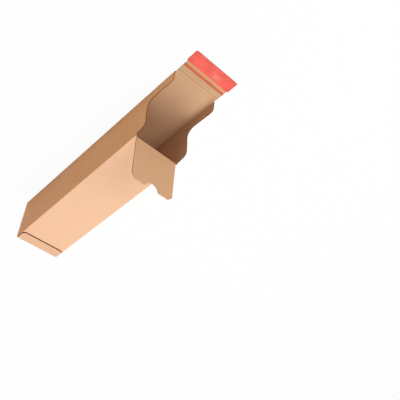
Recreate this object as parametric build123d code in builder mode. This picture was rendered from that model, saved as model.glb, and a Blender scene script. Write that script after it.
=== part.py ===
"""Square mailing tube of folded corrugated board, lying on its bottom panel with one end open.

The tube is one cut and creased sheet. It is divided here at the creases that still move:
the lid, the tongue on the lid's end and the inner flap. A self-adhesive strip with its red
release liner and a tear-open tape lie on the tongue.

Frame: +X runs along the tube to the open end, +Y to the side wall nearer the viewer, +Z up.
The origin is the bottom centre of the whole object with its lid laid open. Millimetres.
"""
from build123d import *
import os

os.makedirs("parts", exist_ok=True)

# Board and folds
board = 1.6              # thickness of the corrugated board
fold_radius = 2.2        # outside radius of a folded edge
crease_gap = 0.3         # running clearance at a crease and between sliding boards

# Square sleeve
tube_length = 430.0      # closed end to the end of the bottom panel
tube_width = 108.0       # outside, side wall to side wall
tube_height = 108.0      # outside, bottom panel to top panel

# Glued end
lip_depth = 28.0         # end panel's lip, glued down on the top panel
lip_corner = 8.0
end_flap_gap = 1.0       # inner end flap's free edge above the bottom panel

# Glue seam inside, under the top panel
seam_width = 30.0
seam_inset = 45.0        # seam tab's ends, in from each end of the tube
seam_taper = 12.0

# Web corners of the lid
ear_setback = 4.6        # the webs stop this short of the lid's end
ear_arm = 27.0           # arm width at its free end
ear_root = 24.5          # arm width where the two arms meet
ear_slope = 5.0          # fall of the upright arm's top edge
ear_waist = 20.0         # inside radius between the arms
ear_shoulder = 14.0      # round on the upright arm
ear_toe = 8.0            # round on the arm along the lid

# Inner flap
flap_gap = 1.0           # closed flap's free edge above the bottom panel
flap_taper = 2.0         # each side edge leans in by this much
flap_corner = 9.0        # cut corners
notch_width = 31.0       # thumb notch in the free edge
notch_depth = 13.5

# Tongue and the strips on it
tongue_length = 58.0
tongue_inset = 0.1       # each side, in from the lid's edge
tongue_corner = 2.0
film = 0.2               # thickness of the adhesive, the liner and the tear tape
tape_width = 6.0
tape_gap = 7.0           # bare board between the tear tape and the liner
liner_width = 28.0       # runs to the tongue's free edge
liner_overhang = 2.9     # the liner's ends stand past both side edges of the tongue
adhesive_inset = 2.5     # adhesive strip in from the liner's and the tongue's edges

# Places worked out from the sizes above
hinge_offset = board / 2 + crease_gap
inner_half = tube_width / 2 - board
ear_outer = inner_half - crease_gap
lid_width = 2 * ear_outer
flap_width = lid_width - 2 * board - 2 * crease_gap
tongue_width = lid_width - 2 * tongue_inset
film_stack = 2 * film

lid_axis_z = board / 2
flap_axis_z = tube_height - board / 2
tongue_axis_up = tube_height + film_stack + crease_gap + board / 2
lid_reach = tongue_axis_up - lid_axis_z
ear_reach = lid_reach - hinge_offset - ear_setback  # along the side wall's end, and along the lid
overall_length = tube_length + hinge_offset + lid_reach + tongue_length

closed_x = -overall_length / 2
mouth_x = closed_x + tube_length
lid_axis_x = mouth_x + hinge_offset
side_end_x = lid_axis_x + board / 2
top_end_x = mouth_x - board - film_stack - crease_gap
flap_axis_x = top_end_x + hinge_offset
tongue_axis_x = lid_axis_x + lid_reach
lid_end_x = tongue_axis_x - hinge_offset
tongue_end_x = tongue_axis_x + tongue_length
tape_end_x = tongue_end_x - liner_width - tape_gap
flap_length = flap_axis_z - board - flap_gap

print("lid crease", lid_axis_x, lid_axis_z)
print("flap crease", flap_axis_x, flap_axis_z, "flap length", flap_length)
print("tongue crease", tongue_axis_x, lid_axis_z)


# Sleeve, glued end, lip, inner end flap and seam: one folded piece
with BuildPart() as tube:
    with BuildSketch(Plane.YZ.offset(closed_x)) as wall_ring:
        with Locations((0, tube_height / 2)):
            RectangleRounded(tube_width, tube_height, fold_radius)
            RectangleRounded(
                2 * inner_half, tube_height - 2 * board, fold_radius - board, mode=Mode.SUBTRACT
            )
    extrude(amount=side_end_x - closed_x)

    # The top panel stops short of the mouth, behind the inner flap
    with Locations((top_end_x, 0, tube_height)):
        Box(
            side_end_x - top_end_x,
            flap_width + 2 * crease_gap,
            2 * board,
            align=(Align.MIN, Align.CENTER, Align.CENTER),
            mode=Mode.SUBTRACT,
        )
    # Room between the side walls' ends for the lid, open and closed
    with Locations((mouth_x, 0, 0), (mouth_x, 0, tube_height)):
        Box(
            side_end_x - mouth_x,
            2 * inner_half,
            2 * fold_radius,
            align=(Align.MIN, Align.CENTER, Align.CENTER),
            mode=Mode.SUBTRACT,
        )

    # Room between the side walls for the end panel's two folds
    with Locations((closed_x, 0, 0)):
        Box(
            fold_radius,
            2 * inner_half,
            2 * board,
            align=(Align.MIN, Align.CENTER, Align.CENTER),
            mode=Mode.SUBTRACT,
        )
    with Locations((closed_x, 0, tube_height)):
        Box(
            board,
            2 * inner_half,
            2 * board,
            align=(Align.MIN, Align.CENTER, Align.CENTER),
            mode=Mode.SUBTRACT,
        )

    # End panel, folded up from the bottom panel and over on to the top panel
    with BuildSketch(Plane.XZ) as end_strip:
        with BuildLine():
            FilletPolyline(
                (closed_x + 2 * fold_radius, board / 2),
                (closed_x + board / 2, board / 2),
                (closed_x + board / 2, tube_height + board / 2),
                (closed_x + lip_depth, tube_height + board / 2),
                radius=fold_radius - board / 2,
            )
        trace(line_width=board)
    extrude(amount=lid_width / 2, both=True)
    with BuildSketch(Plane.XY.offset(tube_height)) as lip_corners:
        with Locations((closed_x + lip_depth, 0)):
            Rectangle(lip_corner, lid_width, align=(Align.MAX, Align.CENTER))
        with Locations((closed_x + lip_depth - lip_corner, 0)):
            Rectangle(
                lip_corner,
                lid_width - 2 * lip_corner,
                align=(Align.MIN, Align.CENTER),
                mode=Mode.SUBTRACT,
            )
        with Locations(
            (closed_x + lip_depth - lip_corner, lid_width / 2 - lip_corner),
            (closed_x + lip_depth - lip_corner, lip_corner - lid_width / 2),
        ):
            Circle(lip_corner, mode=Mode.SUBTRACT)
    extrude(amount=board, mode=Mode.SUBTRACT)

    # Inner end flap, folded down from the top panel behind the end panel
    with Locations((closed_x + board, 0, tube_height - board)):
        Box(
            board,
            2 * inner_half,
            tube_height - 2 * board - end_flap_gap,
            align=(Align.MIN, Align.CENTER, Align.MAX),
        )

    # Seam tab, folded in from the far side wall and glued under the top panel
    with BuildSketch(Plane.XY.offset(tube_height - 2 * board)) as seam_tab:
        with BuildLine():
            Polyline(
                (closed_x + seam_inset, -inner_half),
                (closed_x + seam_inset + seam_taper, seam_width - inner_half),
                (mouth_x - seam_inset - seam_taper, seam_width - inner_half),
                (mouth_x - seam_inset, -inner_half),
                close=True,
            )
        make_face()
    extrude(amount=board)


# End panel at the mouth, with a web corner folded up along each side edge
with BuildPart() as lid:
    ear_mid = ear_outer - board / 2
    with BuildSketch(Plane.YZ.offset(lid_axis_x + hinge_offset)) as folded_section:
        with BuildLine():
            FilletPolyline(
                (ear_mid, lid_axis_z + ear_reach),
                (ear_mid, lid_axis_z),
                (-ear_mid, lid_axis_z),
                (-ear_mid, lid_axis_z + ear_reach),
                radius=fold_radius - board / 2,
            )
        trace(line_width=board)
    extrude(amount=ear_reach - hinge_offset)
    with BuildSketch(Plane((lid_axis_x, 0, lid_axis_z), (1, 0, 0), (0, -1, 0))) as ear_outline:
        with BuildLine():
            FilletPolyline(
                (hinge_offset, 0),
                (hinge_offset, ear_reach),
                (ear_arm, ear_reach - ear_slope),
                (ear_root, ear_root),
                (ear_reach - ear_slope / 2, ear_arm),
                (ear_reach, 0),
                radius=[board, ear_shoulder, ear_waist, ear_toe],
            )
            Polyline(
                (ear_reach, 0),
                (ear_reach, -lid_axis_z),
                (hinge_offset, -lid_axis_z),
                (hinge_offset, 0),
            )
        make_face()
    extrude(amount=ear_outer, both=True, mode=Mode.INTERSECT)

    # Flat ends of the panel, before and past the web corners, and the crease at the mouth
    with BuildSketch(Plane.XY) as panel_ends:
        with Locations((lid_axis_x, 0)):
            Rectangle(hinge_offset, lid_width, align=(Align.MIN, Align.CENTER))
        with Locations((lid_end_x, 0)):
            Rectangle(ear_setback, lid_width, align=(Align.MAX, Align.CENTER))
    extrude(amount=board)
    with BuildSketch(Plane.XZ) as lid_crease:
        with Locations((lid_axis_x, lid_axis_z)):
            Circle(board / 2)
    extrude(amount=lid_width / 2, both=True)


# Flap on the top panel's end, standing up; it folds down inside the lid
with BuildPart() as inner_flap:
    free_edge_z = flap_axis_z + flap_length
    notch_radius = ((notch_width / 2) ** 2 + notch_depth ** 2) / (2 * notch_depth)
    with BuildSketch(Plane.YZ.offset(flap_axis_x - board / 2)) as flap_outline:
        with BuildLine():
            Polyline(
                (-flap_width / 2, flap_axis_z),
                (flap_width / 2, flap_axis_z),
                (flap_width / 2 - flap_taper, free_edge_z - flap_corner),
                (flap_width / 2 - flap_taper - flap_corner, free_edge_z),
                (flap_taper + flap_corner - flap_width / 2, free_edge_z),
                (flap_taper - flap_width / 2, free_edge_z - flap_corner),
                close=True,
            )
        make_face()
        with Locations((0, free_edge_z + notch_radius - notch_depth)):
            Circle(notch_radius, mode=Mode.SUBTRACT)
    extrude(amount=board)
    with BuildSketch(Plane.XZ) as flap_crease:
        with Locations((flap_axis_x, flap_axis_z)):
            Circle(board / 2)
    extrude(amount=flap_width / 2, both=True)


# Closing tongue on the lid's end
with BuildPart() as tongue:
    with BuildSketch(Plane.XZ) as tongue_section:
        with Locations((tongue_axis_x, lid_axis_z)):
            Rectangle(tongue_length, board, align=(Align.MIN, Align.CENTER))
            Circle(board / 2)
    extrude(amount=tongue_width / 2, both=True)
    free_corners = edges().filter_by(Axis.Z).group_by(Axis.X)[-1]
    fillet(free_corners, radius=tongue_corner)


# Strips on the tongue's inner face
with BuildPart() as tear_tape:
    with BuildSketch(Plane.XY.offset(board)) as tape_outline:
        with Locations((tape_end_x, 0)):
            Rectangle(tape_width, tongue_width, align=(Align.MAX, Align.CENTER))
    extrude(amount=film)

with BuildPart() as adhesive_strip:
    with BuildSketch(Plane.XY.offset(board)) as adhesive_outline:
        with Locations((tongue_end_x - adhesive_inset, 0)):
            Rectangle(
                liner_width - 2 * adhesive_inset,
                tongue_width - 2 * adhesive_inset,
                align=(Align.MAX, Align.CENTER),
            )
    extrude(amount=film)

with BuildPart() as release_liner:
    with BuildSketch(Plane.XY.offset(board + film)) as liner_outline:
        with Locations((tongue_end_x, 0)):
            Rectangle(
                liner_width,
                tongue_width + 2 * liner_overhang,
                align=(Align.MAX, Align.CENTER),
            )
    extrude(amount=film)


tube.part.label = "tube"
lid.part.label = "lid"
inner_flap.part.label = "inner_flap"
tongue.part.label = "tongue"
tear_tape.part.label = "tear_tape"
adhesive_strip.part.label = "adhesive_strip"
release_liner.part.label = "release_liner"

export_step(tube.part, "parts/tube.step")
export_step(lid.part, "parts/lid.step")
export_step(inner_flap.part, "parts/inner_flap.step")
export_step(tongue.part, "parts/tongue.step")
export_step(tear_tape.part, "parts/tear_tape.step")
export_step(adhesive_strip.part, "parts/adhesive_strip.step")
export_step(release_liner.part, "parts/release_liner.step")
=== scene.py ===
"""Looks and stage for the square mailing tube of folded corrugated board.

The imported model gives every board, the two tapes and the liner their shape. This add-on gives
them kraft paper, open flutes on the cut edges, pressed creases, printed marks and plastic film,
and sets up a plain studio with the camera at the photograph's angle.
Metres, in the model's frame: +X to the open end, +Y to the side wall nearer the viewer, +Z up.
"""
import math

import bmesh
import bpy
from bpy.props import FloatProperty, FloatVectorProperty, PointerProperty
from bpy.types import Operator, Panel, PropertyGroup
from mathutils import Matrix, Vector


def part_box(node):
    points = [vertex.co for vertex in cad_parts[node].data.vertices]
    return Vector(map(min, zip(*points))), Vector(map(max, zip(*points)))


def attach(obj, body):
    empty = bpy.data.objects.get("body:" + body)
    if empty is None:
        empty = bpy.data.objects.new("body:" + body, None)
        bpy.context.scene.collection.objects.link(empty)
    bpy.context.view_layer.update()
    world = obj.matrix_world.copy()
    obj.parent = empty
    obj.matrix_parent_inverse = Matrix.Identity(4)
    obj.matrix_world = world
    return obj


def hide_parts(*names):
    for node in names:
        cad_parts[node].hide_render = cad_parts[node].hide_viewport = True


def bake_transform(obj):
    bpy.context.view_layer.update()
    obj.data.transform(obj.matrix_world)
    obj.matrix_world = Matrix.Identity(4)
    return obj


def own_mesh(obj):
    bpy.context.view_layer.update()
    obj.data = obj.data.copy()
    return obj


bl_info = {
    "name": "Square Mailing Tube",
    "version": (1, 0, 0),
    "blender": (4, 5, 0),
    "location": "3D Viewport > Sidebar > Mailing Tube",
    "description": "Kraft board, tapes, marks and studio for a square mailing tube",
    "category": "Object",
}

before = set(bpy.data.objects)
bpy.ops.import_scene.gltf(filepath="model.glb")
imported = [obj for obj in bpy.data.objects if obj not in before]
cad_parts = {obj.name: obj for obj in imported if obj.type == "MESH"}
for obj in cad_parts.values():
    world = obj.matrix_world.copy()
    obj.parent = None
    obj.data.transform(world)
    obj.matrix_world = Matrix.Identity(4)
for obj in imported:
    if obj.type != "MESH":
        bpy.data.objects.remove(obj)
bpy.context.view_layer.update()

MM = 0.001
BOARD = 1.6 * MM

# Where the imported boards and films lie
TUBE_LOW, TUBE_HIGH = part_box("tube")
LID_LOW, LID_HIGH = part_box("lid")
FLAP_LOW, FLAP_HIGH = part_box("inner_flap")
TONGUE_LOW, TONGUE_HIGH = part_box("tongue")
TAPE_LOW, TAPE_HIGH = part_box("tear_tape")
LINER_LOW, LINER_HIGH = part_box("release_liner")
TUBE_TOP = TUBE_HIGH.z - BOARD
SIDE_OUT = TUBE_HIGH.y
SIDE_IN = SIDE_OUT - BOARD
LID_CREASE_X = LID_LOW.x + BOARD / 2
TONGUE_CREASE_X = TONGUE_LOW.x + BOARD / 2
HINGE_OFFSET = TONGUE_CREASE_X - LID_HIGH.x

# Folds and creases, and how far the scores beside them lie from the fold
FOLD_RADIUS = 2.2 * MM
FOLD_Y = SIDE_OUT - FOLD_RADIUS
WEB_CLEARANCE = 0.15 * MM
CREASE_OVERLAP = 0.2 * MM
CREASE_SIDE_GAP = 0.3 * MM
CREASE_RECESS = 0.02 * MM
PRESSED_WIDTH = 0.45 * MM
NARROW_CREASE = 1.1 * MM
BROAD_CREASE = 2.0 * MM
SOFT_CREASE = 2.4 * MM
MOUTH_SCORE = 3.5 * MM
TONGUE_SCORE = 3.6 * MM
FLAP_SCORE = 3.0 * MM
# Span above the flap's fold that gets a painted highlight
FLAP_FOLD_HIGHLIGHT_SPAN = (0.8 * MM, 2.0 * MM)

# The lip glued down on the top panel, and the band of painted shadow round it
LIP_DEPTH = 28 * MM
LIP_CORNER = 8 * MM
LIP_SHADOW_BAND = (1.5 * MM, 2.8 * MM)

# How far a face or fold may be off, and how deep into the board it still counts as the face
FACE_TOLERANCE = 0.02 * MM
EDGE_TOLERANCE = 0.15 * MM
FOLD_TOLERANCE = 0.05 * MM
FACE_DEPTH = 0.3 * MM
TOP_FACE_DEPTH = 0.5 * MM

# Cut edges: how far from the closed end or from a rolled crease they begin or stop
WALL_CUT_WITHIN = 4.0 * MM
LIP_CUT_BEYOND = 3.0 * MM
ROLLED_EDGE = 1.2 * MM

# How squarely a face looks along an axis, from 0 to 1
SQUARELY = 0.9
MOSTLY = 0.7
PARTLY = 0.5
UPWARD = 0.4

# Flutes at a cut edge
FLUTE_PITCH = 0.0033
KRAFT_THICKNESS = 0.00024
WAVE_FADE = (0.00012, 0.00024)
KRAFT_FADE = 0.05 * MM
GRAIN_SCALE = 2600.0
GRAIN_TONE = (0.30, 0.17, 0.09, 1.0)
# Painted shade on cut edges that face aside, and painted light on the flap's cut edges that face
# up
SHADED_CUT = (0.60, 0.31, 0.15, 1.0)
LIT_CUT = (1.9, 1.9, 1.9, 1.0)

# Pressed creases: where their raised shoulders rise and fall, in widths of the groove, and the
# painted highlight on them
SHOULDER_RISE = (0.7, 1.1)
SHOULDER_FALL = (1.2, 2.2)
SHOULDER_HEIGHT = 0.3
SHOULDER_HIGHLIGHT_AMOUNT = 0.22

# Kraft paper: noise scales per metre, tones that multiply its colour, and its surface
CLOUD_SCALE = 13.0
MOTTLE_SCALE = 130.0
LONG_FIBRES = (1500.0, 330.0, 330.0)
CROSS_FIBRES = (380.0, 1300.0, 1300.0)
SPECK_SPREAD = (900.0, 420.0, 420.0)
WEAR_SCALE = 160.0
BOW_SCALE = 24.0
DARK_PAPER = (0.62, 0.54, 0.48, 1.0)
LIGHT_PAPER = (1.30, 1.36, 1.42, 1.0)
# Painted shade in a crease's groove, and painted highlight on its shoulders
CREASE_PAINTED_SHADE = (0.45, 0.36, 0.28, 1.0)
SHOULDER_PAINTED_HIGHLIGHT = (1.35, 1.40, 1.45, 1.0)
WORN_PAPER = (1.3, 1.4, 1.5, 1.0)
LIP_TONE = (0.90, 0.88, 0.86, 1.0)
# Painted shadow in the band round the glued lip
LIP_GAP_PAINTED_SHADOW = (0.20, 0.055, 0.012, 1.0)
# Painted highlight along the flap's rolled fold
FLAP_FOLD_HIGHLIGHT = (1.22, 1.28, 1.32, 1.0)
TONGUE_TONE = (0.95, 0.93, 0.88, 1.0)
ROUGH_PAPER = 0.64
SMOOTH_PAPER = 0.52
SIZING_ROUGHNESS = 0.58
FIBRE_RELIEF = 0.35
RIB_RELIEF = 2.0
FLUTE_RELIEF = 1.5
BUMP_STRENGTH = 0.55
BUMP_DISTANCE = 0.16 * MM
FOLD_WEAR = 3.2 * MM
EDGE_WEAR = 2.5 * MM

# Marks printed on the tongue, as distances from its middle line, and the painted red bounce light
# beside the tape
LONG_DASH = (1.5 * MM, 19.0 * MM)
SHORT_DASH = (24.5 * MM, 30.0 * MM)
SQUARE_INSET = 0.6 * MM
SQUARE_STRETCH = 0.4 * MM
INK_SCALE = 1800.0
RED_BOUNCE_REACH = 9.0 * MM

# The frame and bars printed on the liner
FRAME_INSET = 9.0 * MM
FRAME_HALF = (3.5 * MM, 9.0 * MM)
FRAME_CORNER = 3.0 * MM
FRAME_LINE = (0.3 * MM, 0.6 * MM)
BAR_PLACE = 2.2 * MM
BAR_HALF = (0.7 * MM, 8.0 * MM)

# Plastic film: noise scales per metre, and its surface
FILM_CLOUD_SCALE = 45.0
SCUFF_SPREAD = (260.0, 1500.0, 260.0)
WAVE_SPREAD = (28.0, 75.0, 28.0)
WAVE_DISTANCE = 1.2 * MM
FILM_DARKER = 0.84
FILM_LIGHTER = 1.06
FILM_HAZE = 0.012
SCUFF_TONE = (1.0, 0.80, 0.75, 1.0)
SCUFF_ROUGHNESS = 0.12
FILM_GLOSS = 0.25

# The liner's ripple, in radians per metre, its shift, and how much of its outer edge lies flat
RIPPLE_ALONG = 290.0
RIPPLE_ACROSS = 60.0
RIPPLE_BEAT = 131.0
RIPPLE_SHIFT = 0.7
FLAT_EDGE = 0.25

# Fineness of the meshes
SMOOTH_BELOW = math.radians(35)
FOLD_STEPS = 5
CREASE_STEPS = 10
ROUND_STEPS = 10
LINER_ROWS = 72
LINER_COLUMNS = 10

# Studio
SENSOR_WIDTH = 36.0
CLIP_END = 50.0
LAMP_TARGET = (-0.05, 0.0, 0.08)
FILL_SIZE = 1.6
FLOOR_REACH = 8.0
FLOOR_LEVEL = -0.2 * MM
FLOOR_ROUGHNESS = 0.9
WHITE = (1.0, 1.0, 1.0, 1.0)


class BoardSettings(PropertyGroup):
    paper: FloatVectorProperty(
        name="Paper", description="Colour of the kraft liners", subtype="COLOR",
        size=3, min=0, max=1, default=(0.85, 0.505, 0.302),
    )
    paper_inside: FloatVectorProperty(
        name="Paper inside", description="Colour of the inner kraft liner", subtype="COLOR",
        size=3, min=0, max=1, default=(0.64, 0.388, 0.224),
    )
    flute: FloatVectorProperty(
        name="Flute", description="Colour of the fluted paper at a cut edge", subtype="COLOR",
        size=3, min=0, max=1, default=(0.46, 0.25, 0.12),
    )
    # Painted shade in the hollows between the flutes at a cut edge
    flute_hollow_shade: FloatVectorProperty(
        name="Hollow", description="Colour between the flutes at a cut edge", subtype="COLOR",
        size=3, min=0, max=1, default=(0.10, 0.05, 0.022),
    )
    flute_pitch: FloatProperty(
        name="Flute pitch", description="Distance from one flute to the next",
        unit="LENGTH", min=0.001, default=FLUTE_PITCH,
    )
    liner_thickness: FloatProperty(
        name="Liner thickness", description="Thickness of one kraft liner",
        unit="LENGTH", min=0.00005, default=KRAFT_THICKNESS,
    )
    crease_depth: FloatProperty(
        name="Crease depth", description="How far a crease is pressed in",
        unit="LENGTH", min=0, default=0.00014,
    )
    cloudiness: FloatProperty(
        name="Cloudiness", description="Light and dark patches in the paper",
        subtype="FACTOR", min=0, max=1, default=0.30,
    )
    fibres: FloatProperty(
        name="Fibres", description="Strength of the paper's fibres",
        subtype="FACTOR", min=0, max=1, default=0.32,
    )
    # Painted shade: a browner, more saturated tint on the outer side panels
    side_painted_shade: FloatVectorProperty(
        name="Side cast", description="Browner cast of the side panels", subtype="COLOR",
        size=3, min=0, max=2, default=(1.13, 1.01, 0.82),
    )
    gloss: FloatProperty(
        name="Gloss", description="How much all the board shines", subtype="FACTOR",
        min=0, max=1, default=0.2,
    )
    sizing: FloatProperty(
        name="Sizing", description="Smooth sizing that makes the outer liner shine more",
        subtype="FACTOR", min=0, max=1, default=0.6,
    )
    bow: FloatProperty(
        name="Bow", description="How far the boards bulge and dip",
        unit="LENGTH", min=0, default=0.0016,
    )
    ribbing: FloatProperty(
        name="Ribbing", description="How far the flutes show through the liners",
        subtype="FACTOR", min=0, max=1, default=0.03,
    )


class WebSettings(PropertyGroup):
    reach: FloatProperty(
        name="Reach", description="Length of each arm of a web corner",
        unit="LENGTH", min=0.03, default=0.103,
    )
    arm: FloatProperty(
        name="Arm", description="Width of each arm at its free end",
        unit="LENGTH", min=0.01, default=0.027,
    )
    root: FloatProperty(
        name="Root", description="Width of the arms where they meet",
        unit="LENGTH", min=0.01, default=0.0245,
    )
    slope: FloatProperty(
        name="Slope", description="Fall of the upright arm's top edge",
        unit="LENGTH", min=0, default=0.005,
    )
    waist: FloatProperty(
        name="Waist", description="Inside radius between the arms",
        unit="LENGTH", min=0, default=0.020,
    )
    shoulder: FloatProperty(
        name="Shoulder", description="Round on the upright arm",
        unit="LENGTH", min=0, default=0.014,
    )
    toe: FloatProperty(
        name="Toe", description="Round on the arm along the lid",
        unit="LENGTH", min=0, default=0.008,
    )


class StripSettings(PropertyGroup):
    liner: FloatVectorProperty(
        name="Release liner", description="Colour of the release liner", subtype="COLOR",
        size=3, min=0, max=1, default=(0.87, 0.088, 0.055),
    )
    tape: FloatVectorProperty(
        name="Tear tape", description="Colour of the tear tape", subtype="COLOR",
        size=3, min=0, max=1, default=(0.57, 0.095, 0.014),
    )
    adhesive: FloatVectorProperty(
        name="Adhesive", description="Colour of the adhesive", subtype="COLOR",
        size=3, min=0, max=1, default=(0.80, 0.72, 0.55),
    )
    ripple: FloatProperty(
        name="Ripple", description="How far the release liner ripples",
        unit="LENGTH", min=0, default=0.00016,
    )
    droop: FloatProperty(
        name="Droop", description="How far the liner's ends hang down",
        unit="LENGTH", min=0, default=0.0009,
    )
    liner_corner: FloatProperty(
        name="Liner corner", description="Radius of the release liner's corners",
        unit="LENGTH", min=0.0001, default=0.002,
    )
    pull_mark: FloatVectorProperty(
        name="Pull mark", description="Colour of the mark printed on the liner",
        subtype="COLOR", size=3, min=0, max=1, default=(0.98, 0.55, 0.52),
    )
    mark_place: FloatProperty(
        name="Mark place", description="Where along the liner its mark is printed",
        unit="LENGTH", default=-0.013,
    )
    # Painted red bounce light on the board beside the red tape
    glow: FloatVectorProperty(
        name="Glow", description="Warm cast on the board between the red strips",
        subtype="COLOR", size=3, min=0, max=2, default=(1.16, 0.93, 0.84),
    )


class MarkSettings(PropertyGroup):
    ink: FloatVectorProperty(
        name="Ink", description="Colour of the marks printed on the tongue", subtype="COLOR",
        size=3, min=0, max=1, default=(0.012, 0.009, 0.007),
    )
    square: FloatProperty(
        name="Square", description="Side of the square at each end of the tear tape",
        unit="LENGTH", min=0, default=0.0115,
    )
    dash_width: FloatProperty(
        name="Dash width", description="Width of the dashes over the tear tape",
        unit="LENGTH", min=0, default=0.0016,
    )


class StageSettings(PropertyGroup):
    focal_length: FloatProperty(
        name="Focal length", description="Camera lens in millimetres", min=10, default=53.3,
    )
    camera_place: FloatVectorProperty(
        name="Camera place", description="Where the camera stands", subtype="TRANSLATION",
        size=3, unit="LENGTH", default=(0.7671, 0.4598, 0.9652),
    )
    camera_view: FloatVectorProperty(
        name="Camera view", description="Direction in which the camera looks", subtype="XYZ",
        size=3, default=(-0.5397, -0.49131, -0.68363),
    )
    camera_up: FloatVectorProperty(
        name="Camera up", description="Direction that is up in the picture", subtype="XYZ",
        size=3, default=(0.47963, 0.48792, -0.72931),
    )
    floor_color: FloatVectorProperty(
        name="Floor", description="Colour of the floor", subtype="COLOR",
        size=3, min=0, max=1, default=(0.86, 0.86, 0.86),
    )
    floor_bounce: FloatVectorProperty(
        name="Floor bounce", description="Colour that the floor throws back on the board",
        subtype="COLOR", size=3, min=0, max=1, default=(0.78, 0.66, 0.52),
    )
    floor_glow: FloatProperty(
        name="Floor glow", description="Share of plain white in the floor as seen",
        subtype="FACTOR", min=0, max=1, default=0.94,
    )
    room_light: FloatProperty(
        name="Room light", description="Strength of the even light", min=0, default=0.19,
    )
    key_place: FloatVectorProperty(
        name="Key place", description="Where the key lamp hangs", subtype="TRANSLATION",
        size=3, unit="LENGTH", default=(-0.5, -0.5, 2.0),
    )
    key_size: FloatProperty(
        name="Key size", description="Side of the key lamp", unit="LENGTH", min=0.1, default=1.7,
    )
    key_power: FloatProperty(
        name="Key light", description="Power of the large lamp over the tube",
        unit="POWER", min=0, default=35,
    )
    fill_place: FloatVectorProperty(
        name="Fill place", description="Where the fill lamp hangs", subtype="TRANSLATION",
        size=3, unit="LENGTH", default=(2.0, -0.1, 1.1),
    )
    fill_power: FloatProperty(
        name="Fill light", description="Power of the lamp past the open end",
        unit="POWER", min=0, default=28,
    )


class Wires:
    """Puts nodes into one tree and links them as they are made."""

    def __init__(self, tree):
        self.tree = tree

    def add(self, kind, inputs=None, **settings):
        node = self.tree.nodes.new(kind)
        count = len(self.tree.nodes)
        node.location = (200 * (count % 10), -240 * (count // 10))
        for name, value in settings.items():
            setattr(node, name, value)
        for name, value in (inputs or {}).items():
            self.feed(node.inputs[name], value)
        return node

    def feed(self, socket, value):
        if isinstance(value, bpy.types.NodeSocket):
            self.tree.links.new(value, socket)
        else:
            socket.default_value = value

    def math(self, operation, a, b=0.0, c=0.0):
        node = self.add("ShaderNodeMath", {0: a, 1: b, 2: c}, operation=operation)
        return node.outputs[0]

    def add_up(self, a, b):
        return self.math("ADD", a, b)

    def minus(self, a, b):
        return self.math("SUBTRACT", a, b)

    def times(self, a, b):
        return self.math("MULTIPLY", a, b)

    def least(self, a, b):
        return self.math("MINIMUM", a, b)

    def most(self, a, b):
        return self.math("MAXIMUM", a, b)

    def size_of(self, a):
        return self.math("ABSOLUTE", a)

    def above(self, a, b):
        return self.math("GREATER_THAN", a, b)

    def below(self, a, b):
        return self.math("LESS_THAN", a, b)

    def between(self, value, low, high):
        return self.times(self.above(value, low), self.below(value, high))

    def outside(self, mask):
        """1 where the mask is 0."""
        return self.minus(1.0, mask)

    def where_all(self, first, *masks):
        """The masks multiplied, which is 1 where all of them are 1."""
        for mask in masks:
            first = self.times(first, mask)
        return first

    def distance(self, a, b):
        """How far a point is that lies a and b away along two axes."""
        return self.math("SQRT", self.add_up(self.times(a, a), self.times(b, b)))

    def ramp(self, value, low, high, start=0.0, end=1.0):
        """Value smoothly from start at low to end at high."""
        node = self.add(
            "ShaderNodeMapRange",
            {"Value": value, "From Min": low, "From Max": high, "To Min": start, "To Max": end},
            interpolation_type="SMOOTHSTEP",
        )
        return node.outputs["Result"]

    def choose(self, factor, a, b):
        node = self.add("ShaderNodeMix", {0: factor, 2: a, 3: b}, data_type="FLOAT")
        return node.outputs[0]

    def blend(self, factor, a, b, blend_type="MIX"):
        node = self.add(
            "ShaderNodeMix", {0: factor, 6: a, 7: b}, data_type="RGBA", blend_type=blend_type
        )
        return node.outputs[2]

    def place(self):
        """Object coordinates as vector, x, y and z."""
        vector = self.add("ShaderNodeTexCoord").outputs["Object"]
        parts = self.add("ShaderNodeSeparateXYZ", {0: vector}).outputs
        return vector, parts[0], parts[1], parts[2]

    def facing(self):
        """The absolute x, y and z of the surface's direction in the piece's own frame."""
        vector = self.add("ShaderNodeTexCoord").outputs["Normal"]
        parts = self.add("ShaderNodeSeparateXYZ", {0: vector}).outputs
        return [self.size_of(part) for part in parts]

    def noise(self, vector, scale, detail=2.0, roughness=0.5):
        node = self.add(
            "ShaderNodeTexNoise",
            {"Vector": vector, "Scale": scale, "Detail": detail, "Roughness": roughness},
        )
        return node.outputs["Fac"]

    def stretch(self, vector, scale):
        node = self.add("ShaderNodeVectorMath", {0: vector, 1: scale}, operation="MULTIPLY")
        return node.outputs[0]


def color4(color):
    """A colour with full alpha."""
    return (color[0], color[1], color[2], 1.0)


def start_group(name, inputs, outputs):
    """A new node group with its sockets, and the wires, group input and group output."""
    tree = bpy.data.node_groups.new(name, "ShaderNodeTree")
    for socket_name, kind, value in inputs:
        socket = tree.interface.new_socket(
            name=socket_name, in_out="INPUT", socket_type="NodeSocket" + kind
        )
        socket.default_value = value
    for socket_name, kind in outputs:
        tree.interface.new_socket(
            name=socket_name, in_out="OUTPUT", socket_type="NodeSocket" + kind
        )
    wires = Wires(tree)
    return wires, wires.add("NodeGroupInput").outputs, wires.add("NodeGroupOutput").inputs


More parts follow.
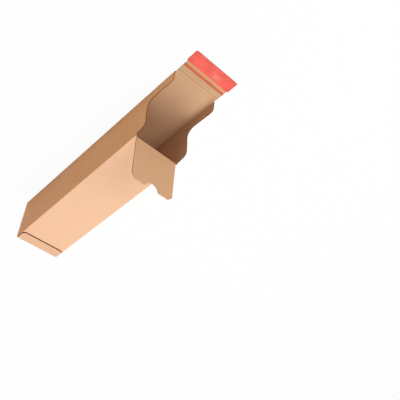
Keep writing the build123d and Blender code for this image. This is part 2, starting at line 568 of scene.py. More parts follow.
def make_kraft_group():
    """Kraft paper: clouds, fibres, specks and the flutes showing through."""
    wires, given, result = start_group(
        "Kraft paper",
        [
            ("Paper", "Color", (0.7, 0.4, 0.2, 1.0)),
            ("Clouds", "Float", 0.1),
            ("Fibres", "Float", 0.15),
            ("Ribbing", "Float", 0.03),
            ("Pitch", "Float", FLUTE_PITCH),
        ],
        [("Color", "Color"), ("Roughness", "Float"), ("Height", "Float")],
    )
    vector, _, y, z = wires.place()
    to_y = wires.facing()[1]

    broad = wires.minus(wires.noise(vector, CLOUD_SCALE), 0.5)
    close = wires.noise(vector, MOTTLE_SCALE, detail=5.0, roughness=0.62)
    close = wires.minus(close, 0.5)
    clouds = wires.times(wires.add_up(wires.times(broad, 1.2), close), given["Clouds"])

    long_fibres = wires.stretch(vector, LONG_FIBRES)
    cross_fibres = wires.stretch(vector, CROSS_FIBRES)
    fibre = wires.add_up(
        wires.noise(long_fibres, 1.0, detail=4.0, roughness=0.7),
        wires.noise(cross_fibres, 1.0, detail=3.0, roughness=0.6),
    )
    fibre = wires.minus(wires.times(fibre, 0.5), 0.5)
    fibres = wires.times(fibre, given["Fibres"])

    across = wires.choose(wires.above(to_y, PARTLY), y, z)
    turns = wires.math("DIVIDE", across, given["Pitch"])
    rib = wires.math("SINE", wires.times(turns, 2 * math.pi))
    rib = wires.times(rib, given["Ribbing"])

    speck = wires.noise(wires.stretch(vector, SPECK_SPREAD), 1.0)
    specks = wires.ramp(speck, low=0.68, high=0.76)
    specks = wires.times(specks, wires.times(given["Fibres"], 0.7))

    level = wires.add_up(wires.add_up(clouds, fibres), wires.times(rib, 0.5))
    level = wires.minus(level, specks)
    darker = wires.blend(1.0, given["Paper"], DARK_PAPER, "MULTIPLY")
    lighter = wires.blend(1.0, given["Paper"], LIGHT_PAPER, "MULTIPLY")
    paper = wires.blend(wires.ramp(level, -0.5, 0.0), darker, given["Paper"])
    paper = wires.blend(wires.ramp(level, 0.0, 0.5), paper, lighter)
    wires.feed(result["Color"], paper)
    wires.feed(result["Roughness"], wires.ramp(level, -0.2, 0.2, ROUGH_PAPER, SMOOTH_PAPER))
    height = wires.add_up(wires.times(fibre, FIBRE_RELIEF), wires.times(rib, RIB_RELIEF))
    wires.feed(result["Height"], height)


def make_flute_group():
    """A cut edge of corrugated board: two liners and the wave of fluted paper between."""
    wires, given, result = start_group(
        "Open flutes",
        [
            ("Along", "Float", 0.0),
            ("Depth", "Float", 0.0),
            ("Pitch", "Float", FLUTE_PITCH),
            ("Thickness", "Float", BOARD),
            ("Liner", "Float", KRAFT_THICKNESS),
        ],
        [("Wave", "Float"), ("Liners", "Float")],
    )
    middle = wires.times(given["Thickness"], 0.5)
    reach = wires.minus(middle, wires.times(given["Liner"], 1.2))
    turns = wires.math("DIVIDE", given["Along"], given["Pitch"])
    wave = wires.times(wires.math("SINE", wires.times(turns, 2 * math.pi)), reach)
    past_middle = wires.minus(given["Depth"], middle)
    from_wave = wires.size_of(wires.minus(past_middle, wave))
    wires.feed(result["Wave"], wires.ramp(from_wave, *WAVE_FADE, 1.0, 0.0))
    into_liner = wires.minus(wires.size_of(past_middle), wires.minus(middle, given["Liner"]))
    wires.feed(result["Liners"], wires.ramp(into_liner, -KRAFT_FADE, KRAFT_FADE))


def make_crease_group():
    """A pressed crease: a shallow groove with raised shoulders, and masks for painted shade in
    the groove and a painted highlight on the shoulders.
    """
    wires, given, result = start_group(
        "Pressed crease",
        [("Distance", "Float", 0.0), ("Width", "Float", NARROW_CREASE)],
        [("Shade", "Float"), ("Shoulder", "Float"), ("Height", "Float")],
    )
    away = wires.math("DIVIDE", wires.size_of(given["Distance"]), given["Width"])
    groove = wires.ramp(away, 0.0, 1.0, 1.0, 0.0)
    rise = wires.ramp(away, *SHOULDER_RISE)
    shoulder = wires.times(rise, wires.ramp(away, *SHOULDER_FALL, 1.0, 0.0))
    wires.feed(result["Shade"], groove)
    wires.feed(result["Shoulder"], shoulder)
    height = wires.minus(wires.times(shoulder, SHOULDER_HEIGHT), groove)
    wires.feed(result["Height"], height)


def make_wear_group():
    """Rubbed paper near a folded edge, broken up by noise."""
    wires, given, result = start_group(
        "Rubbed edge",
        [("Distance", "Float", 0.0), ("Reach", "Float", FOLD_WEAR), ("Amount", "Float", 0.5)],
        [("Mask", "Float")],
    )
    vector = wires.place()[0]
    away = wires.math("DIVIDE", given["Distance"], given["Reach"])
    near = wires.ramp(away, 0.0, 1.0, 1.0, 0.0)
    patches = wires.noise(vector, WEAR_SCALE, detail=4.0, roughness=0.7)
    patches = wires.ramp(patches, low=0.42, high=0.66)
    wires.feed(result["Mask"], wires.where_all(near, patches, given["Amount"]))


GROUP_MAKERS = {
    "Kraft paper": make_kraft_group,
    "Open flutes": make_flute_group,
    "Pressed crease": make_crease_group,
    "Rubbed edge": make_wear_group,
}


def use_group(wires, name, inputs):
    """Places a shared group in a material, and makes it when it is first asked for."""
    if name not in bpy.data.node_groups:
        GROUP_MAKERS[name]()
    node = wires.add("ShaderNodeGroup", node_tree=bpy.data.node_groups[name])
    for socket_name, value in inputs.items():
        wires.feed(node.inputs[socket_name], value)
    return node.outputs


def start_material(name):
    material = bpy.data.materials.new(name)
    material.use_nodes = True
    material.node_tree.nodes.clear()
    wires = Wires(material.node_tree)
    shader = wires.add("ShaderNodeBsdfPrincipled")
    wires.add("ShaderNodeOutputMaterial", {"Surface": shader.outputs[0]})
    return material, wires, shader


class BoardMaterial:
    """A kraft board material, built up from paper, creases, wear, marks and cut edges."""

    def __init__(self, name):
        self.settings = bpy.context.scene.tube_board
        self.material, self.wires, self.shader = start_material(name)
        self.vector, self.x, self.y, self.z = self.wires.place()
        self.to_x, self.to_y, self.to_z = self.wires.facing()

    def paper(self, inside):
        """Covers the board with its outer liner, and with its inner one where inside is 1; the
        outer side panels get painted shade.
        """
        wires = self.wires
        settings = self.settings
        both = wires.blend(inside, color4(settings.paper), color4(settings.paper_inside))
        kraft = use_group(
            wires,
            "Kraft paper",
            {
                "Paper": both,
                "Clouds": settings.cloudiness,
                "Fibres": settings.fibres,
                "Ribbing": settings.ribbing,
                "Pitch": settings.flute_pitch,
            },
        )
        self.color = kraft["Color"]
        self.roughness = kraft["Roughness"]
        bow = wires.noise(self.vector, BOW_SCALE, 1.0)
        bow = wires.times(bow, settings.bow / BUMP_DISTANCE)
        self.height = wires.add_up(kraft["Height"], bow)
        # Painted shade: the outer side panels are tinted browner and more saturated than the top
        side = wires.times(wires.above(self.to_y, MOSTLY), wires.outside(inside))
        self.tint(side, color4(settings.side_painted_shade))
        self.shine = wires.choose(wires.most(side, inside), settings.sizing, 0.0)

    def tint(self, mask, tone):
        """Multiplies the colour where the mask is."""
        self.color = self.wires.blend(mask, self.color, tone, "MULTIPLY")

    def dull(self, mask):
        """Takes the shine off where the mask is."""
        self.roughness = self.wires.choose(mask, self.roughness, 1.0)
        self.shine = self.wires.choose(mask, self.shine, 0.0)

    def shade(self, mask):
        """Painted shadow: dull dark brown in the narrow band beside a glued edge, with the shine
        taken off.
        """
        self.tint(mask, LIP_GAP_PAINTED_SHADOW)
        self.dull(mask)

    def crease(self, distance, width, dark, where=1.0):
        """Presses a crease at distance 0, with painted shade in its groove and a painted
        highlight on the shoulders either side of it.
        """
        wires = self.wires
        crease = use_group(wires, "Pressed crease", {"Distance": distance, "Width": width})
        # Painted shade in the groove and painted highlight on the shoulders
        shade = wires.times(wires.times(crease["Shade"], where), dark)
        self.tint(shade, CREASE_PAINTED_SHADE)
        shoulder = wires.times(wires.times(crease["Shoulder"], where), SHOULDER_HIGHLIGHT_AMOUNT)
        self.tint(shoulder, SHOULDER_PAINTED_HIGHLIGHT)
        self.height = wires.add_up(self.height, wires.times(crease["Height"], where))

    def wear(self, distance, reach, amount):
        """Rubs the paper near an edge or fold."""
        mask = use_group(
            self.wires, "Rubbed edge", {"Distance": distance, "Reach": reach, "Amount": amount}
        )["Mask"]
        self.tint(mask, WORN_PAPER)

    def ink(self, mask, color):
        self.color = self.wires.blend(mask, self.color, color4(color))

    def cut_edge(self, mask, along, depth, tone):
        """Open flutes that run along the edge, with depth counted from one face of the board,
        painted shade in the hollows between them, and the given tone multiplied in, which paints
        shade on edges that face aside and light on the flap's edges that face up.
        """
        wires = self.wires
        settings = self.settings
        flutes = use_group(
            wires,
            "Open flutes",
            {
                "Along": along,
                "Depth": depth,
                "Pitch": settings.flute_pitch,
                "Liner": settings.liner_thickness,
            },
        )
        # Painted shade in the hollows between the flutes, flute paper on the wave
        edge = wires.blend(flutes["Wave"], color4(settings.flute_hollow_shade), color4(settings.flute))
        edge = wires.blend(flutes["Liners"], edge, color4(settings.paper_inside))
        grain = wires.noise(self.vector, GRAIN_SCALE, detail=3.0, roughness=0.6)
        grain = wires.ramp(grain, low=0.35, high=0.7, end=0.35)
        edge = wires.blend(grain, edge, GRAIN_TONE)
        edge = wires.blend(1.0, edge, tone, "MULTIPLY")
        self.color = wires.blend(mask, self.color, edge)
        raised = wires.most(flutes["Wave"], flutes["Liners"])
        self.height = wires.choose(mask, self.height, wires.times(raised, FLUTE_RELIEF))
        self.dull(mask)

    def finish(self):
        wires = self.wires
        bump = wires.add(
            "ShaderNodeBump",
            {"Strength": BUMP_STRENGTH, "Distance": BUMP_DISTANCE, "Height": self.height},
        )
        wires.feed(self.shader.inputs["Base Color"], self.color)
        wires.feed(self.shader.inputs["Roughness"], self.roughness)
        wires.feed(self.shader.inputs["Normal"], bump.outputs["Normal"])
        wires.feed(self.shader.inputs["Coat Weight"], self.shine)
        self.shader.inputs["Coat Roughness"].default_value = SIZING_ROUGHNESS
        self.shader.inputs["Specular IOR Level"].default_value = self.settings.gloss
        return self.material


def dress(node_name, material):
    """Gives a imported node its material."""
    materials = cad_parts[node_name].data.materials
    materials.clear()
    materials.append(material)


class Sheet:
    """Collects the faces of one folded piece and makes each shared corner once."""

    def __init__(self):
        self.mesh = bmesh.new()
        self.corners = {}

    def corner(self, place):
        key = tuple(round(part, 7) for part in place)
        if key not in self.corners:
            self.corners[key] = self.mesh.verts.new(place)
        return self.corners[key]

    def face(self, *places):
        self.mesh.faces.new([self.corner(place) for place in places])

    def band(self, first, second):
        """Quads between two rows of places."""
        for index in range(len(first) - 1):
            self.face(first[index], first[index + 1], second[index + 1], second[index])

    def slab(self, lower, upper):
        """A closed slab between two grids of places, each a list of rows."""
        for grid in (lower, upper):
            for row, following in zip(grid, grid[1:]):
                self.band(row, following)
        for row in (0, -1):
            self.band(lower[row], upper[row])
        for column in (0, -1):
            self.band([row[column] for row in lower], [row[column] for row in upper])

    def finish(self, name, material, slot):
        bmesh.ops.recalc_face_normals(self.mesh, faces=self.mesh.faces)
        data = bpy.data.meshes.new(name)
        self.mesh.to_mesh(data)
        self.mesh.free()
        data.shade_smooth()
        data.set_sharp_from_angle(angle=SMOOTH_BELOW)
        data.materials.append(material)
        piece = bpy.data.objects.new(name, data)
        bpy.context.scene.collection.objects.link(piece)
        return piece


def rounded_outline(corners, radii):
    """Points round an outline, with an arc of the given radius at each corner."""
    points = []
    for index, (corner, radius) in enumerate(zip(corners, radii)):
        here = Vector(corner)
        if radius == 0:
            points.append(here)
            continue
        before = (Vector(corners[index - 1]) - here).normalized()
        after = (Vector(corners[(index + 1) % len(corners)]) - here).normalized()
        half = before.angle(after) / 2
        centre = here + (before + after).normalized() * (radius / math.sin(half))
        first = here + before * (radius / math.tan(half)) - centre
        last = here + after * (radius / math.tan(half)) - centre
        for step in range(ROUND_STEPS + 1):
            ray = first.lerp(last, step / ROUND_STEPS).normalized()
            points.append(centre + ray * radius)
    return points


def web_outline(webs, start):
    """Points round a web corner in x and z, from the fold at its start to the fold at its end."""
    low = BOARD / 2
    tip = Vector((LID_CREASE_X + webs.reach - webs.slope / 2, low + webs.arm))
    foot = Vector((LID_CREASE_X + webs.reach, low))
    end = tip.lerp(foot, (tip.y - FOLD_RADIUS) / webs.arm)
    corners = [
        (start, FOLD_RADIUS),
        (start, low + webs.reach),
        (LID_CREASE_X + webs.arm, low + webs.reach - webs.slope),
        (LID_CREASE_X + webs.root, low + webs.root),
        tip,
        end,
    ]
    return rounded_outline(corners, [0, BOARD, webs.shoulder, webs.waist, webs.toe, 0])


def lid_sheet(webs, material):
    """The lid and its two web corners as one folded sheet, level with the side walls."""
    sheet = Sheet()
    start = TUBE_HIGH.x + WEB_CLEARANCE
    outline = web_outline(webs, start)
    end = outline[-1].x
    stations = (LID_CREASE_X, start, end, LID_HIGH.x)
    for x, next_x in zip(stations, stations[1:]):
        for z in (0.0, BOARD):
            sheet.band(
                [(x, -FOLD_Y, z), (next_x, -FOLD_Y, z)],
                [(x, FOLD_Y, z), (next_x, FOLD_Y, z)],
            )
    for x, next_x in (stations[:2], stations[2:]):
        for y in (-FOLD_Y, FOLD_Y):
            sheet.face((x, y, 0.0), (next_x, y, 0.0), (next_x, y, BOARD), (x, y, BOARD))
    sheet.band(
        [(LID_HIGH.x, -FOLD_Y, 0.0), (LID_HIGH.x, FOLD_Y, 0.0)],
        [(LID_HIGH.x, -FOLD_Y, BOARD), (LID_HIGH.x, FOLD_Y, BOARD)],
    )

    half = BOARD / 2
    nose = []
    for step in range(2 * FOLD_STEPS + 1):
        turn = math.pi * step / (2 * FOLD_STEPS)
        nose.append((LID_CREASE_X - half * math.sin(turn), half - half * math.cos(turn)))
    sheet.band([(x, -FOLD_Y, z) for x, z in nose], [(x, FOLD_Y, z) for x, z in nose])
    for y in (-FOLD_Y, FOLD_Y):
        sheet.face(*[(x, y, z) for x, z in nose])

    turns = [math.pi / 2 * step / FOLD_STEPS for step in range(FOLD_STEPS + 1)]
    for side in (-1, 1):
        arcs = []
        for radius in (FOLD_RADIUS, FOLD_RADIUS - BOARD):
            arc = [
                (side * (FOLD_Y + radius * math.sin(turn)), FOLD_RADIUS - radius * math.cos(turn))
                for turn in turns
            ]
            arcs.append(arc)
            sheet.band([(start, y, z) for y, z in arc], [(end, y, z) for y, z in arc])
        for x in (start, end):
            sheet.band([(x, y, z) for y, z in arcs[0]], [(x, y, z) for y, z in arcs[1]])
        outer = [(x, side * SIDE_OUT, z) for x, z in outline]
        inner = [(x, side * SIDE_IN, z) for x, z in outline]
        sheet.face(*outer)
        sheet.face(*inner)
        sheet.band(outer, inner)

    lid = sheet.finish("lid_sheet", material, "kraft_board")
    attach(lid, "lid")
    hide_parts("lid")
    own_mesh(lid)


def crease_strip(name, material, axis_x, half_width, crease_depth):
    """The board through a crease, pressed a little thinner."""
    sheet = Sheet()
    reach = HINGE_OFFSET + CREASE_OVERLAP
    middle = BOARD / 2
    rows = []
    for y in (-half_width, half_width):
        lower = []
        upper = []
        for step in range(CREASE_STEPS + 1):
            away = reach * (2 * step / CREASE_STEPS - 1)
            pressed = math.exp(-(((away + HINGE_OFFSET / 2) / PRESSED_WIDTH) ** 2))
            thick = middle - CREASE_RECESS - crease_depth * pressed
            lower.append((axis_x + away, y, middle - thick))
            upper.append((axis_x + away, y, middle + thick))
        rows.append((lower, upper))
    sheet.slab([lower for lower, upper in rows], [upper for lower, upper in rows])
    strip = sheet.finish(name, material, "kraft_board")
    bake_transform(strip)


def liner_sheet(strips, material):
    """The release liner, faintly rippled, with its ends hanging over the tongue's edges."""
    film = LINER_HIGH.z - LINER_LOW.z
    length = LINER_HIGH.y - LINER_LOW.y
    overhang = LINER_HIGH.y - TONGUE_HIGH.y
    corner = strips.liner_corner
    lower = []
    upper = []
    for row in range(LINER_ROWS + 1):
        from_end = length * (1 - math.cos(math.pi * row / LINER_ROWS)) / 2
        near = max(0.0, corner - min(from_end, length - from_end))
        inset = corner - math.sqrt(corner ** 2 - near ** 2)
        y = LINER_LOW.y + from_end
        past = max(0.0, abs(y) - TONGUE_HIGH.y) / overhang
        low = LINER_LOW.z - strips.droop * past ** 2
        lower.append([])
        upper.append([])
        for column in range(LINER_COLUMNS + 1):
            share = column / LINER_COLUMNS
            x = LINER_LOW.x + inset + (LINER_HIGH.x - LINER_LOW.x - 2 * inset) * share
            wave = math.sin(RIPPLE_ALONG * y + RIPPLE_ACROSS * x)
            wave = 1 + wave * math.cos(RIPPLE_BEAT * y + RIPPLE_SHIFT)
            lift = math.sin(math.pi * min(1.0, share + FLAT_EDGE))
            z = low + strips.ripple * wave / 2 * lift
            lower[-1].append((x, y, z))
            upper[-1].append((x, y, z + film))
    sheet = Sheet()
    sheet.slab(lower, upper)
    liner = sheet.finish("liner_film", material, "release_liner")
    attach(liner, "tongue")
    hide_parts("release_liner")


class MAILTUBE_OT_sleeve(Operator):
    """Kraft board for the sleeve, its glued end and lip"""

    bl_idname = "mailtube.sleeve"
    bl_label = "Dress the Sleeve"

    def execute(self, context):
        board = BoardMaterial("Sleeve board")
        wires = board.wires
        aside = wires.size_of(board.y)
        from_end = wires.minus(board.x, TUBE_LOW.x)
        side_depth = wires.minus(SIDE_OUT, aside)
        top_depth = wires.minus(TUBE_TOP, board.z)
        inside_top = wires.least(top_depth, board.z)
        over_top = wires.above(board.z, TUBE_TOP + FACE_TOLERANCE)
        depth = wires.least(side_depth, inside_top)
        board.paper(wires.above(wires.least(depth, from_end), BOARD / 2))

        board.tint(over_top, LIP_TONE)
        farther = wires.least(wires.most(side_depth, inside_top), from_end)
        from_fold = wires.most(depth, farther)
        board.wear(wires.choose(over_top, from_fold, from_end), FOLD_WEAR, amount=0.5)

        along = wires.choose(wires.below(side_depth, inside_top), board.y, board.z)
        along = wires.choose(over_top, along, board.y)
        depth = wires.choose(over_top, depth, wires.minus(board.z, TUBE_TOP))
        wall_cut = wires.where_all(
            wires.above(board.to_x, MOSTLY),
            wires.above(aside, SIDE_IN - EDGE_TOLERANCE),
            wires.below(from_end, WALL_CUT_WITHIN),
        )
        lip_cut = wires.where_all(
            over_top,
            wires.below(board.to_z, PARTLY),
            wires.above(from_end, LIP_CUT_BEYOND),
        )
        board.cut_edge(wires.most(wall_cut, lip_cut), along, depth, SHADED_CUT)

        # Painted shadow on the top panel in a narrow band round the glued lip
        past_x = wires.most(wires.minus(from_end, LIP_DEPTH - LIP_CORNER), 0.0)
        past_y = wires.most(wires.minus(aside, LID_HIGH.y - LIP_CORNER), 0.0)
        from_lip = wires.minus(wires.distance(past_x, past_y), LIP_CORNER)
        painted_lip_shadow = wires.where_all(
            wires.ramp(from_lip, *LIP_SHADOW_BAND, 1.0, 0.0),
            wires.above(board.to_z, PARTLY),
            wires.outside(over_top),
            wires.below(top_depth, TOP_FACE_DEPTH),
        )
        board.shade(painted_lip_shadow)
        dress("tube", board.finish())
        return {"FINISHED"}


class MAILTUBE_OT_lid(Operator):
    """The lid and its web corners as one folded sheet, and the creases either side of it"""

    bl_idname = "mailtube.lid"
    bl_label = "Fold the Lid"

    def execute(self, context):
        depth = context.scene.tube_board.crease_depth
        lid_sheet(context.scene.tube_webs, self.lid_board())
        plain = BoardMaterial("Crease board")
        plain.paper(plain.wires.above(plain.z, BOARD / 2))
        crease_board = plain.finish()
        creases = (
            ("mouth_crease", LID_CREASE_X, SIDE_IN - CREASE_SIDE_GAP, ("tube", "lid")),
            ("tongue_crease", TONGUE_CREASE_X, TONGUE_HIGH.y, ("lid", "tongue")),
        )
        for name, axis_x, half_width, bodies in creases:
            crease_strip(name, crease_board, axis_x, half_width, depth)
        return {"FINISHED"}

    def lid_board(self):
        """Kraft board with the webs' diagonal creases and the cut edges round them."""
        board = BoardMaterial("Lid board")
        wires = board.wires
        normal = wires.add(
            "ShaderNodeSeparateXYZ", {0: wires.add("ShaderNodeTexCoord").outputs["Normal"]}
        ).outputs
        outward = wires.times(normal[1], wires.math("SIGN", board.y))
        board.paper(wires.below(wires.minus(outward, normal[2]), 0.0))

        aside = wires.size_of(board.y)
        side_depth = wires.minus(SIDE_OUT, aside)
        web = wires.above(board.z, FOLD_RADIUS + FOLD_TOLERANCE)
        flat = wires.outside(web)
        from_crease = wires.minus(board.x, LID_CREASE_X)
        diagonal = wires.minus(from_crease, wires.minus(board.z, BOARD / 2))
        from_diagonal = wires.times(diagonal, math.sqrt(0.5))
        board.crease(from_diagonal, NARROW_CREASE, where=web, dark=0.5)
        from_end = wires.minus(LID_HIGH.x - TONGUE_SCORE, board.x)
        board.crease(from_end, BROAD_CREASE, where=flat, dark=0.26)
        from_mouth = wires.minus(from_crease, MOUTH_SCORE)
        board.crease(from_mouth, NARROW_CREASE, where=flat, dark=0.3)
        board.wear(wires.most(side_depth, board.z), FOLD_WEAR, amount=0.5)

        over = wires.minus(aside, FOLD_Y)
        up = wires.minus(board.z, FOLD_RADIUS)
        in_fold = wires.above(over, FOLD_TOLERANCE)
        fold_depth = wires.minus(FOLD_RADIUS, wires.distance(over, up))
        flat_depth = wires.choose(in_fold, board.z, fold_depth)
        depth = wires.choose(web, flat_depth, side_depth)
        along = wires.choose(web, board.y, board.z)
        rim = wires.times(web, wires.below(board.to_y, PARTLY))
        side_cut = wires.where_all(
            flat, wires.above(board.to_y, SQUARELY), wires.below(over, FOLD_TOLERANCE)
        )
        fold_end = wires.where_all(flat, in_fold, wires.above(board.to_x, MOSTLY))
        cuts = wires.most(wires.most(rim, side_cut), fold_end)
        board.cut_edge(cuts, along, depth, SHADED_CUT)
        return board.finish()


class MAILTUBE_OT_inner_flap(Operator):
    """Kraft board for the flap with the thumb notch"""

    bl_idname = "mailtube.inner_flap"
    bl_label = "Dress the Inner Flap"

    def execute(self, context):
        board = BoardMaterial("Inner flap board")
        wires = board.wires
        board.paper(wires.above(board.x, FLAP_LOW.x + BOARD / 2))
        up = wires.minus(board.z, TUBE_TOP - BOARD / 2)
        # Painted highlight on the flap just above its fold
        board.tint(wires.ramp(up, *FLAP_FOLD_HIGHLIGHT_SPAN, 1.0, 0.0), FLAP_FOLD_HIGHLIGHT)
        board.crease(wires.minus(up, FLAP_SCORE), NARROW_CREASE, dark=0.4)
        board.wear(wires.minus(FLAP_HIGH.z, board.z), EDGE_WEAR, amount=0.4)
        cut = wires.times(wires.below(board.to_x, PARTLY), wires.above(up, ROLLED_EDGE))
        # Painted light on the cut edges that face up, painted shade on those that face aside
        tone = wires.blend(wires.above(board.to_z, UPWARD), SHADED_CUT, LIT_CUT)
        board.cut_edge(cut, board.y, wires.minus(board.x, FLAP_LOW.x), tone)
        dress("inner_flap", board.finish())
        return {"FINISHED"}


class MAILTUBE_OT_tongue(Operator):
    """Kraft board for the closing tongue, with the marks printed on its outer face"""

    bl_idname = "mailtube.tongue"
    bl_label = "Dress the Tongue"

    def execute(self, context):
        marks = context.scene.tube_marks
        board = BoardMaterial("Tongue board")
        wires = board.wires
        inside = wires.above(board.z, BOARD / 2)
        board.paper(inside)
        board.tint(inside, TONGUE_TONE)
        from_crease = wires.minus(board.x, TONGUE_CREASE_X)
        board.crease(wires.minus(from_crease, TONGUE_SCORE), SOFT_CREASE, dark=0.22)
        board.wear(wires.minus(TONGUE_HIGH.x, board.x), EDGE_WEAR, amount=0.35)

        aside = wires.size_of(board.y)
        from_tape = wires.size_of(wires.minus(board.x, (TAPE_LOW.x + TAPE_HIGH.x) / 2))
        square_end = TONGUE_HIGH.y - SQUARE_INSET
        square_start = square_end - SQUARE_STRETCH - marks.square
        in_square = wires.times(
            wires.below(from_tape, marks.square / 2),
            wires.between(aside, square_start, square_end),
        )
        dashes = wires.add_up(wires.between(aside, *LONG_DASH), wires.between(aside, *SHORT_DASH))
        in_dash = wires.times(dashes, wires.below(from_tape, marks.dash_width / 2))
        worn = wires.noise(board.vector, INK_SCALE, detail=3.0, roughness=0.7)
        printed = wires.where_all(
            wires.most(in_square, in_dash),
            wires.below(board.z, FACE_DEPTH),
            wires.ramp(worn, low=0.3, high=0.45, start=0.75),
        )
        board.ink(printed, marks.ink)

        # Painted red bounce light on the tongue's upper face beside the tear tape
        painted_red_bounce = wires.ramp(wires.minus(board.x, TAPE_HIGH.x), -RED_BOUNCE_REACH, 0.0)
        painted_red_bounce = wires.times(painted_red_bounce, wires.above(board.z, BOARD - FACE_DEPTH))
        board.tint(painted_red_bounce, color4(context.scene.tube_strips.glow))

        cut = wires.times(wires.below(board.to_z, PARTLY), wires.above(from_crease, ROLLED_EDGE))
        board.cut_edge(cut, board.y, board.z, SHADED_CUT)
        dress("tongue", board.finish())
        return {"FINISHED"}


def film_material(name, color, roughness, ripple, marked=None):
    """Plastic film, a little cloudy and scuffed, and rippled where it lies on the board."""
    material, wires, shader = start_material(name)
    vector, x, y, _ = wires.place()
    cloud = wires.noise(vector, FILM_CLOUD_SCALE, detail=3.0, roughness=0.55)
    scuff = wires.noise(wires.stretch(vector, SCUFF_SPREAD), 1.0, detail=3.0, roughness=0.6)
    darker = [part * FILM_DARKER for part in color]
    lighter = [min(1.0, part * FILM_LIGHTER + FILM_HAZE) for part in color]
    tone = wires.blend(wires.ramp(cloud, 0.3, 0.7), color4(darker), color4(lighter))
    tone = wires.blend(wires.ramp(scuff, 0.62, 0.8, end=0.10), tone, SCUFF_TONE)
    if marked:
        tone = marked(wires, x, y, tone)
    wires.feed(shader.inputs["Base Color"], tone)
    rougher = wires.ramp(scuff, 0.3, 0.7, roughness, roughness + SCUFF_ROUGHNESS)
    wires.feed(shader.inputs["Roughness"], rougher)
    waves = wires.noise(wires.stretch(vector, WAVE_SPREAD), 1.0)
    bump = wires.add(
        "ShaderNodeBump", {"Strength": ripple, "Distance": WAVE_DISTANCE, "Height": waves}
    )
    wires.feed(shader.inputs["Normal"], bump.outputs["Normal"])
    shader.inputs["Specular IOR Level"].default_value = FILM_GLOSS
    return material


class MAILTUBE_OT_strips(Operator):
    """Red release liner, tear tape and adhesive"""

    bl_idname = "mailtube.strips"
    bl_label = "Dress the Strips"

    def execute(self, context):
        settings = context.scene.tube_strips

        def pull_mark(wires, x, y, tone):
            """A plain rounded frame and two bars near the liner's inner edge."""
            along = wires.size_of(wires.minus(y, settings.mark_place))
            across = wires.size_of(wires.minus(x, LINER_LOW.x + FRAME_INSET))
            past_x = wires.most(wires.minus(across, FRAME_HALF[0]), 0.0)
            past_y = wires.most(wires.minus(along, FRAME_HALF[1]), 0.0)
            from_frame = wires.minus(wires.distance(past_x, past_y), FRAME_CORNER)
            outline = wires.ramp(wires.size_of(from_frame), *FRAME_LINE, 1.0, 0.0)
            bar = wires.times(
                wires.below(wires.size_of(wires.minus(across, BAR_PLACE)), BAR_HALF[0]),
                wires.below(along, BAR_HALF[1]),
            )
            mark = wires.most(wires.times(outline, 0.55), bar)
            return wires.blend(wires.times(mark, 0.6), tone, color4(settings.pull_mark))

        film = film_material(
            "Red release film", settings.liner, roughness=0.36, ripple=0.30, marked=pull_mark
        )
        liner_sheet(settings, film)
        tape = film_material("Red tear tape", settings.tape, roughness=0.30, ripple=0.25)
        dress("tear_tape", tape)
        glue = film_material("Cream adhesive", settings.adhesive, roughness=0.22, ripple=0.45)
        dress("adhesive_strip", glue)
        return {"FINISHED"}


def area_lamp(name, place, size, power):
    """A square lamp that faces the tube."""
    data = bpy.data.lights.new(name, "AREA")
    data.size = size
    data.energy = power
    lamp = bpy.data.objects.new(name, data)
    bpy.context.scene.collection.objects.link(lamp)
    lamp.location = place
    lamp.rotation_mode = "QUATERNION"
    lamp.rotation_quaternion = (Vector(LAMP_TARGET) - Vector(place)).to_track_quat("-Z", "Y")


def seen_directly(wires):
    """1 for camera, mirror and see-through rays."""
    path = wires.add("ShaderNodeLightPath").outputs
    seen = wires.most(path["Is Camera Ray"], path["Is Glossy Ray"])
    return wires.most(seen, path["Is Transmission Ray"])


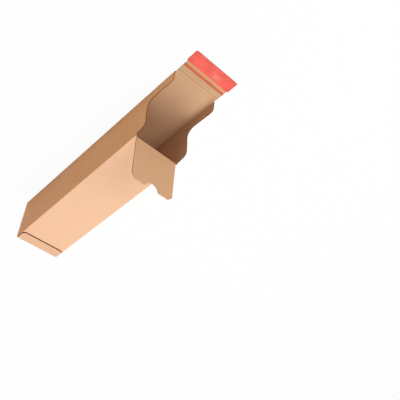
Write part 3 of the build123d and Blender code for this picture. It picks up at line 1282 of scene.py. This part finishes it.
class MAILTUBE_OT_stage(Operator):
    """Camera, floor, lamps and white background"""

    bl_idname = "mailtube.stage"
    bl_label = "Set the Stage"

    def execute(self, context):
        scene = context.scene
        settings = scene.tube_stage

        camera_data = bpy.data.cameras.new("Camera")
        camera_data.sensor_width = SENSOR_WIDTH
        camera_data.lens = settings.focal_length
        camera_data.clip_end = CLIP_END
        camera = bpy.data.objects.new("Camera", camera_data)
        scene.collection.objects.link(camera)
        back = -Vector(settings.camera_view).normalized()
        right = Vector(settings.camera_up).cross(back).normalized()
        up = back.cross(right)
        turn = Matrix((right, up, back)).transposed().to_4x4()
        camera.matrix_world = Matrix.Translation(settings.camera_place) @ turn
        scene.camera = camera

        self.make_floor(settings)
        self.make_world(scene, settings)
        area_lamp("Key lamp", settings.key_place, settings.key_size, settings.key_power)
        area_lamp("Fill lamp", settings.fill_place, FILL_SIZE, settings.fill_power)
        scene.view_settings.view_transform = "Standard"
        return {"FINISHED"}

    def make_floor(self, settings):
        """A pale floor that keeps the tube's soft shadow and throws warm light back."""
        reach = FLOOR_REACH
        corners = [(-reach, -reach), (reach, -reach), (reach, reach), (-reach, reach)]
        mesh = bpy.data.meshes.new("Floor")
        mesh.from_pydata([(x, y, FLOOR_LEVEL) for x, y in corners], [], [(0, 1, 2, 3)])
        floor = bpy.data.objects.new("Floor", mesh)
        bpy.context.scene.collection.objects.link(floor)
        material, wires, shader = start_material("Pale floor")
        seen = seen_directly(wires)
        bounce = color4(settings.floor_bounce)
        wires.feed(
            shader.inputs["Base Color"], wires.blend(seen, bounce, color4(settings.floor_color))
        )
        shader.inputs["Roughness"].default_value = FLOOR_ROUGHNESS
        glow = wires.add("ShaderNodeEmission", {"Color": WHITE, "Strength": 1.0})
        share = wires.times(seen, settings.floor_glow)
        mixed = wires.add(
            "ShaderNodeMixShader", {0: share, 1: shader.outputs[0], 2: glow.outputs[0]}
        )
        output = material.node_tree.nodes["Material Output"]
        wires.feed(output.inputs["Surface"], mixed.outputs[0])
        mesh.materials.append(material)

    def make_world(self, scene, settings):
        """Even light on the board, and white where the room is seen."""
        world = bpy.data.worlds.new("Studio")
        scene.world = world
        world.use_nodes = True
        world.node_tree.nodes.clear()
        wires = Wires(world.node_tree)
        strength = wires.choose(seen_directly(wires), settings.room_light, 1.0)
        light = wires.add("ShaderNodeBackground", {"Color": WHITE, "Strength": strength})
        wires.add("ShaderNodeOutputWorld", {"Surface": light.outputs[0]})


STEPS = ("sleeve", "lid", "inner_flap", "tongue", "strips", "stage")


class MAILTUBE_PT_panel(Panel):
    """Sizes, colours and steps of the mailing tube"""

    bl_idname = "MAILTUBE_PT_panel"
    bl_label = "Mailing Tube"
    bl_space_type = "VIEW_3D"
    bl_region_type = "UI"
    bl_category = "Mailing Tube"

    def draw(self, context):
        layout = self.layout
        for group in SETTINGS:
            settings = getattr(context.scene, group)
            box = layout.box()
            for name in settings.__annotations__:
                box.prop(settings, name)
        for step in STEPS:
            layout.operator("mailtube." + step)


SETTINGS = {
    "tube_board": BoardSettings,
    "tube_webs": WebSettings,
    "tube_strips": StripSettings,
    "tube_marks": MarkSettings,
    "tube_stage": StageSettings,
}
CLASSES = (
    *SETTINGS.values(),
    MAILTUBE_OT_sleeve,
    MAILTUBE_OT_lid,
    MAILTUBE_OT_inner_flap,
    MAILTUBE_OT_tongue,
    MAILTUBE_OT_strips,
    MAILTUBE_OT_stage,
    MAILTUBE_PT_panel,
)


def register():
    for cls in CLASSES:
        bpy.utils.register_class(cls)
    for name, cls in SETTINGS.items():
        setattr(bpy.types.Scene, name, PointerProperty(type=cls))


def unregister():
    for name in SETTINGS:
        delattr(bpy.types.Scene, name)
    for cls in reversed(CLASSES):
        bpy.utils.unregister_class(cls)


def main():
    register()
    for step in STEPS:
        getattr(bpy.ops.mailtube, step)()


if __name__ == "__main__":
    main()
